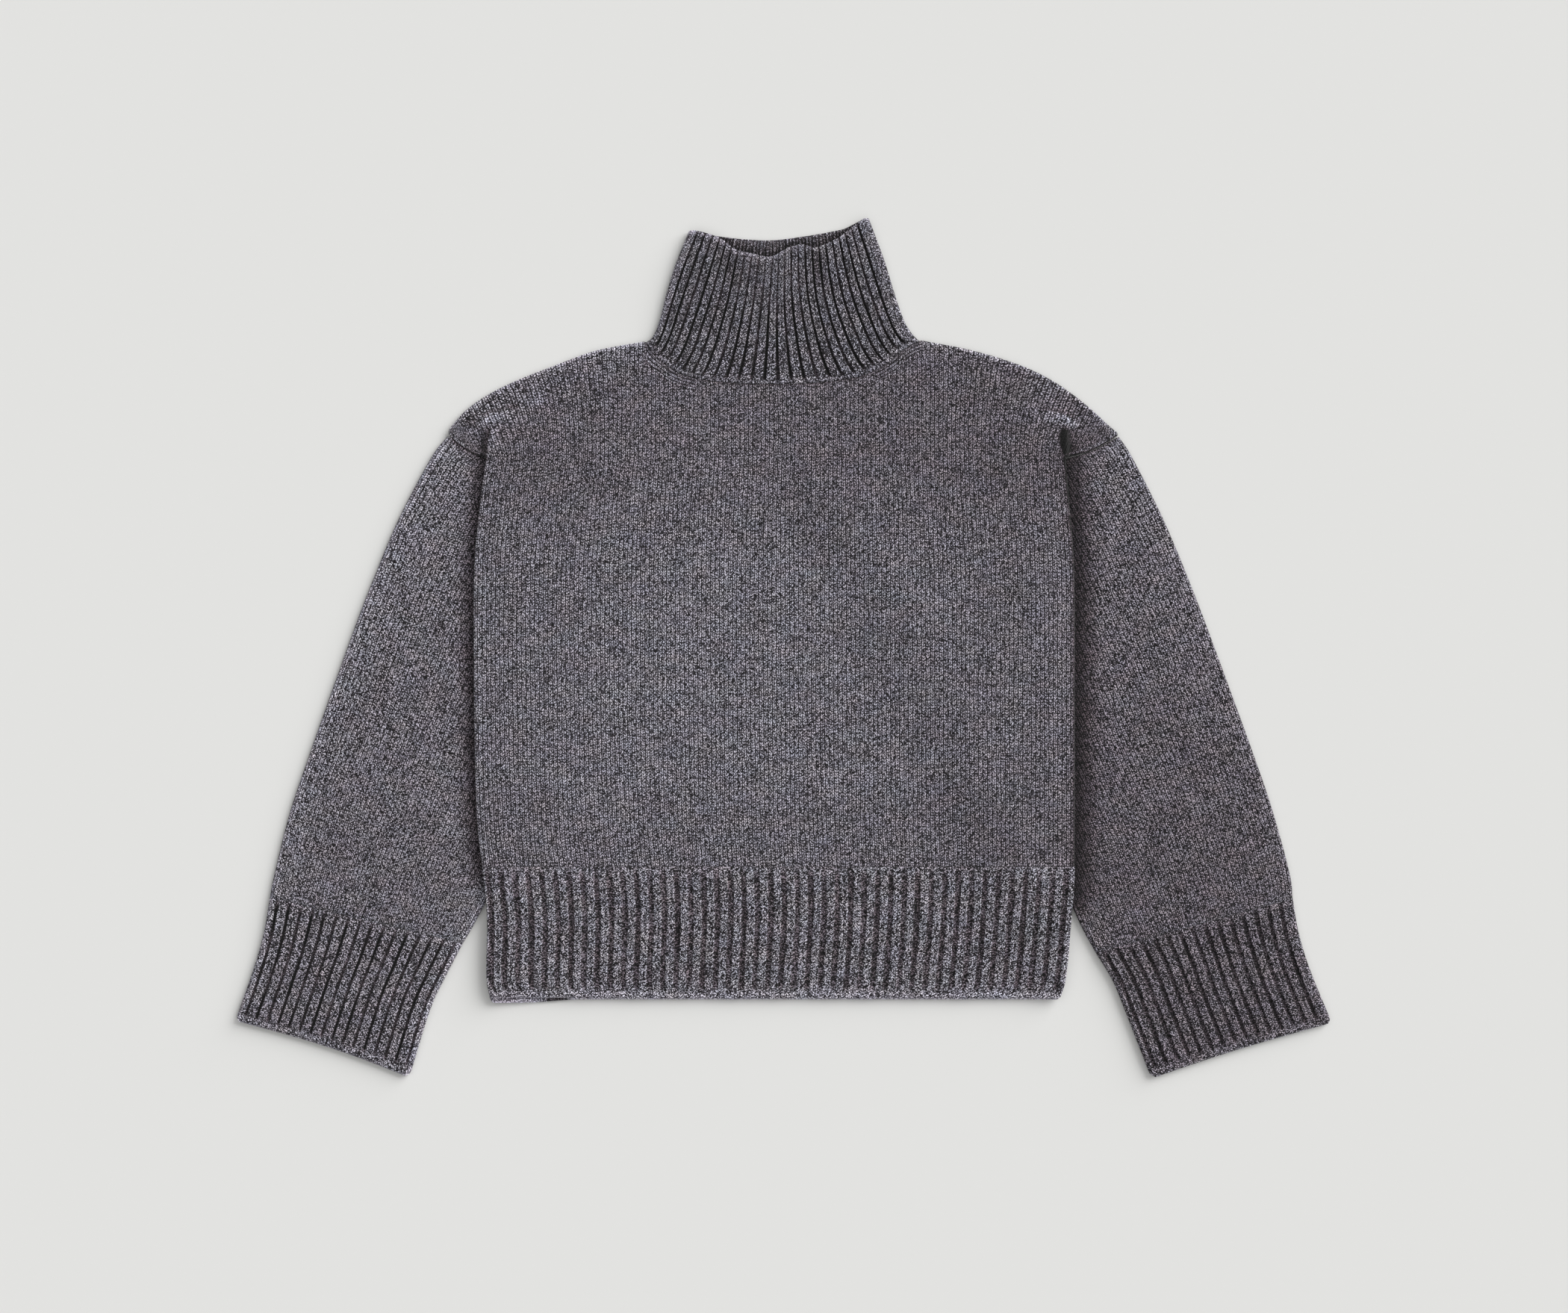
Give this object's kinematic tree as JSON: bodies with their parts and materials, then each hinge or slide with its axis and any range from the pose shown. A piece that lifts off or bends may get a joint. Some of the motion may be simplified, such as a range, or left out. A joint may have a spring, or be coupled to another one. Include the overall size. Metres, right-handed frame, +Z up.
{
  "type": "turtleneck sweater",
  "caption": "Wool turtleneck sweater laid flat, front up, with ribbed stand collar, deep ribbed hem and cuffs, and sleeves tucked partly under the body.",
  "frame": {"origin": "on the resting surface, under the centre of the laid sweater's outline", "axes": "+X across the chest to the viewer's right, +Y from hem to collar, +Z up from the surface, out of the front"},
  "size_m": [0.9535, 0.748, 0.0139],
  "materials": {
    "body_knit": "marled grey wool, plain stockinette knit, soft matt halo",
    "sleeve_knit": "marled grey wool, plain stockinette knit, soft matt halo",
    "rib_knit": "marled grey wool, two by one rib, soft matt halo",
    "collar_knit": "marled grey wool, two by one rib, soft matt halo"
  },
  "bodies": {
    "root": {"front_panel": "body_knit", "back_panel": "body_knit", "front_hem_rib": "rib_knit", "back_hem_rib": "rib_knit", "collar": "collar_knit", "sleeve_left": "sleeve_knit", "sleeve_right": "sleeve_knit", "cuff_left": "rib_knit", "cuff_right": "rib_knit"}
  },
  "joints": []
}
